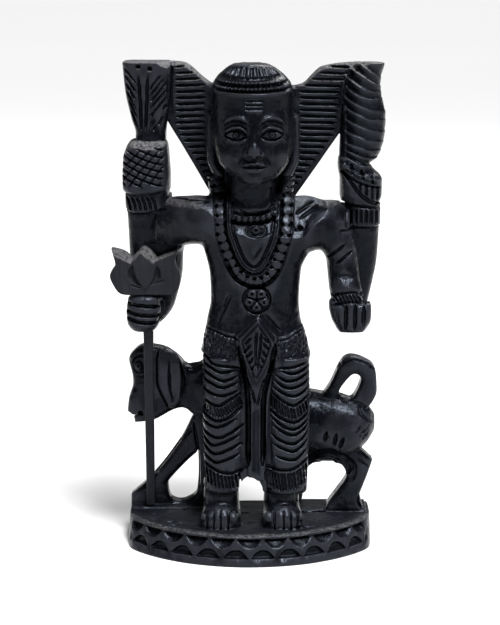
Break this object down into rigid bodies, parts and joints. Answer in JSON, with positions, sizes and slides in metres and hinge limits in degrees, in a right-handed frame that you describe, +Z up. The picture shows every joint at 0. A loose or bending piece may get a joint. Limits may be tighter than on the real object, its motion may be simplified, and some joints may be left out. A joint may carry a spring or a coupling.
{
  "type": "shiva figure",
  "caption": "Black hardwood carving of a four-armed standing deity with a dog, ribbed halo and trident staff on a chip-carved plinth, made to stand on a shelf as an ornament.",
  "frame": {"origin": "on the ground plane under the middle of the overall bounding box", "axes": "+Z up the figure's height, the figure faces -Y, +X to the viewer's right, +Y towards the plinth's straight back"},
  "size_m": [0.0836, 0.042, 0.15],
  "materials": {
    "black_wood": "hand-carved black hardwood, polished by handling on the raised parts, dull in the cuts",
    "brown_black_wood": "knife-cut brown-black hardwood, matte"
  },
  "bodies": {
    "root": {"carved_figure": "black_wood", "trident_staff": "brown_black_wood"}
  },
  "joints": []
}
